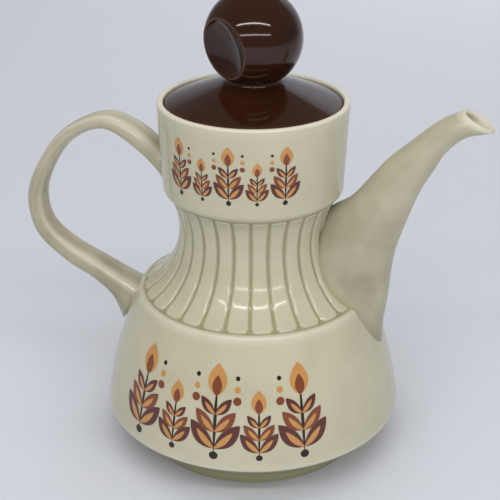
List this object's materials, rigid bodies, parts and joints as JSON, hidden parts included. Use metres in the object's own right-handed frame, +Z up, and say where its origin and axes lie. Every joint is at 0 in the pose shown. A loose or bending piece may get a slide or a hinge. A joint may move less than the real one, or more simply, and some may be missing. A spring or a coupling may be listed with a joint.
{
  "type": "coffee pot",
  "caption": "Tall glazed stoneware coffee pot with a flared belly, ribbed waist, plain collar, curved spout, loop handle and a lift-off domed lid with a ball knob.",
  "frame": {"origin": "on the pot's own axis, in the plane of the foot ring that it stands on", "axes": "+Z up along the pot's axis, +X towards the spout with the handle on -X, +Y across the pot"},
  "size_m": [0.2381, 0.1542, 0.2371],
  "materials": {
    "cream_glaze": "gloss",
    "brown_glaze": "gloss"
  },
  "bodies": {
    "pot": {"pot_body": "cream_glaze", "spout": "cream_glaze", "handle": "cream_glaze"},
    "lid": {"lid_plate": "brown_glaze", "lid_knob": "brown_glaze"}
  },
  "joints": [
    {"name": "lid_lift", "type": "slide", "parent": "pot", "child": "lid", "axis": [0, 0, 1], "range_m": [0, 0.08]}
  ]
}
